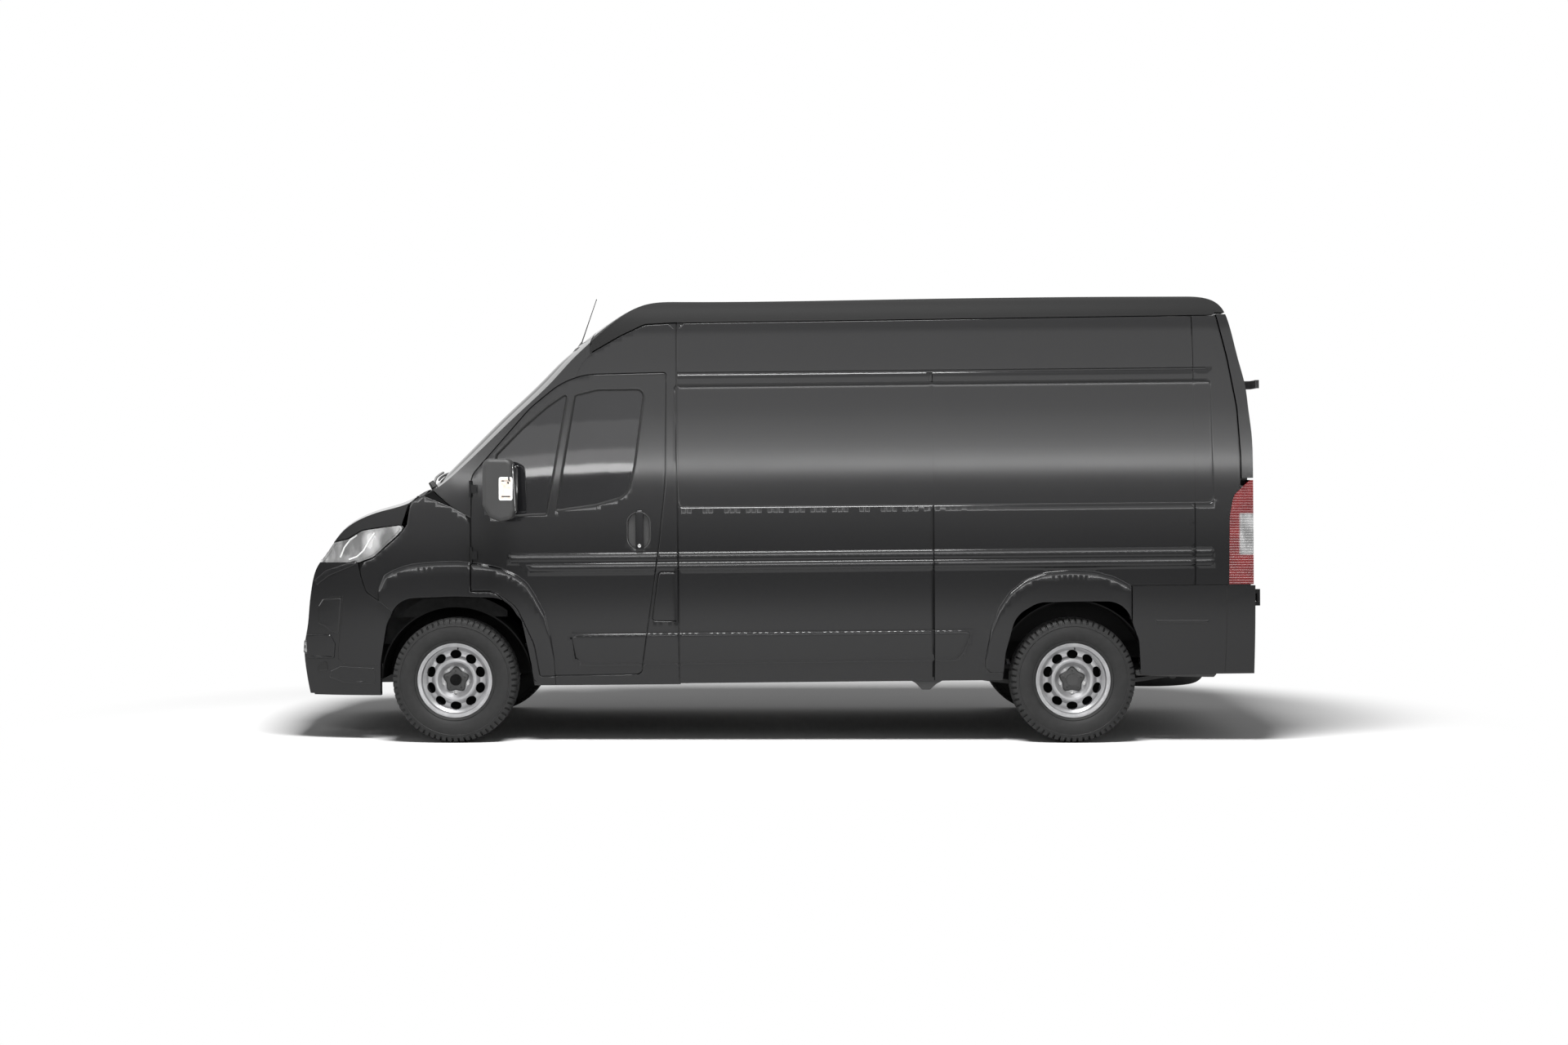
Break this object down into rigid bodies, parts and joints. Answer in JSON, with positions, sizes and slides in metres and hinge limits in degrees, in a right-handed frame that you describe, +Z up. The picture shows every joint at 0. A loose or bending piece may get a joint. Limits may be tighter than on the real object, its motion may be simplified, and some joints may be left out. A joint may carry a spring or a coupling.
{
  "type": "panel van",
  "caption": "Long high-roof panel van with steered front wheels, turning wheels, hinged cab doors, twin rear doors, lifting bonnet, fuel flap and a hollow load space.",
  "frame": {"origin": "on the ground, at the centre of the bounding box's base", "axes": "the van faces -X, its left side is towards -Y, +Z is up"},
  "size_m": [5.4311, 2.44, 2.5261],
  "materials": {
    "body_paint": "metallic graphite",
    "glass": "tinted",
    "lamp_clear": "clear",
    "lamp_red": "gloss",
    "black_plastic": "grained",
    "tyre_rubber": "matte",
    "wheel_silver": "satin silver",
    "chassis_black": "satin black",
    "engine_iron": "cast",
    "exhaust_steel": "dull",
    "load_floor": "satin grey",
    "seat_cloth": "woven"
  },
  "bodies": {
    "root": {"bulkhead": "load_floor", "cab_frame": "body_paint", "chassis_rails": "chassis_black", "dashboard": "black_plastic", "engine": "engine_iron", "exhaust": "exhaust_steel", "floor": "load_floor", "front_bumper": "body_paint", "front_subframe": "chassis_black", "fuel_tank": "chassis_black", "grille": "black_plastic", "headlamps": "lamp_clear", "leaf_springs": "chassis_black", "rear_axle": "chassis_black", "rear_bumper": "body_paint", "roof_panel": "body_paint", "seats": "seat_cloth", "side_panel_left": "body_paint", "side_panel_right": "body_paint", "sliding_door": "body_paint", "spare_wheel": "tyre_rubber", "steering_wheel": "black_plastic", "tail_lamps": "lamp_red", "wheel_liners": "black_plastic", "windscreen": "glass", "wing_left": "body_paint", "wing_right": "body_paint"},
    "knuckle_left": {"knuckle_left": "chassis_black"},
    "knuckle_right": {"knuckle_right": "chassis_black"},
    "wheel_front_left": {"wheel_front_left": "wheel_silver", "tyre_front_left": "tyre_rubber"},
    "wheel_front_right": {"wheel_front_right": "wheel_silver", "tyre_front_right": "tyre_rubber"},
    "wheel_rear_left": {"wheel_rear_left": "wheel_silver", "tyre_rear_left": "tyre_rubber"},
    "wheel_rear_right": {"wheel_rear_right": "wheel_silver", "tyre_rear_right": "tyre_rubber"},
    "cab_door_left": {"cab_door_left": "body_paint", "door_glass_left": "glass", "mirror_left": "black_plastic"},
    "rear_door_left": {"rear_door_left": "body_paint"},
    "cab_door_right": {"cab_door_right": "body_paint", "door_glass_right": "glass", "mirror_right": "black_plastic"},
    "rear_door_right": {"rear_door_right": "body_paint"},
    "bonnet": {"bonnet": "body_paint"},
    "fuel_flap": {"fuel_flap": "body_paint"}
  },
  "joints": [
    {"name": "steer_left", "type": "hinge", "parent": "root", "child": "knuckle_left", "pos_m": [-1.7765, -0.8, 0.348], "axis": [0, 0, 1], "range_deg": [-35, 35]},
    {"name": "steer_right", "type": "hinge", "parent": "root", "child": "knuckle_right", "pos_m": [-1.7765, 0.8, 0.348], "axis": [0, 0, 1], "range_deg": [-35, 35]},
    {"name": "wheel_spin_front_left", "type": "hinge", "parent": "knuckle_left", "child": "wheel_front_left", "pos_m": [-1.7765, -0.905, 0.348], "axis": [0, 1, 0], "continuous": true},
    {"name": "wheel_spin_front_right", "type": "hinge", "parent": "knuckle_right", "child": "wheel_front_right", "pos_m": [-1.7765, 0.905, 0.348], "axis": [0, 1, 0], "continuous": true},
    {"name": "wheel_spin_rear_left", "type": "hinge", "parent": "root", "child": "wheel_rear_left", "pos_m": [1.6735, -0.905, 0.348], "axis": [0, 1, 0], "continuous": true},
    {"name": "wheel_spin_rear_right", "type": "hinge", "parent": "root", "child": "wheel_rear_right", "pos_m": [1.6735, 0.905, 0.348], "axis": [0, 1, 0], "continuous": true},
    {"name": "cab_door_swing_left", "type": "hinge", "parent": "root", "child": "cab_door_left", "pos_m": [-1.68538, -1.002, 1.28378], "axis": [0.0099, 0, -1], "range_deg": [0, 72]},
    {"name": "rear_door_swing_left", "type": "hinge", "parent": "root", "child": "rear_door_left", "pos_m": [2.6984, -0.985, 1.32739], "axis": [0.0099, 0, -1], "range_deg": [0, 180]},
    {"name": "cab_door_swing_right", "type": "hinge", "parent": "root", "child": "cab_door_right", "pos_m": [-1.68538, 1.002, 1.28378], "axis": [-0.0099, 0, 1], "range_deg": [0, 72]},
    {"name": "rear_door_swing_right", "type": "hinge", "parent": "root", "child": "rear_door_right", "pos_m": [2.6984, 0.985, 1.32739], "axis": [-0.0099, 0, 1], "range_deg": [0, 180]},
    {"name": "bonnet_lift", "type": "hinge", "parent": "root", "child": "bonnet", "pos_m": [-2.03471, 0, 1.36531], "axis": [0, 1, 0], "range_deg": [0, 54]},
    {"name": "fuel_flap_swing", "type": "hinge", "parent": "root", "child": "fuel_flap", "pos_m": [-0.53541, -1.03, 0.8152], "axis": [-0.0099, 0, 1], "range_deg": [0, 100]}
  ],
  "couplings": [
    {"joint": "steer_right", "follows": "steer_left", "ratio": 1}
  ]
}
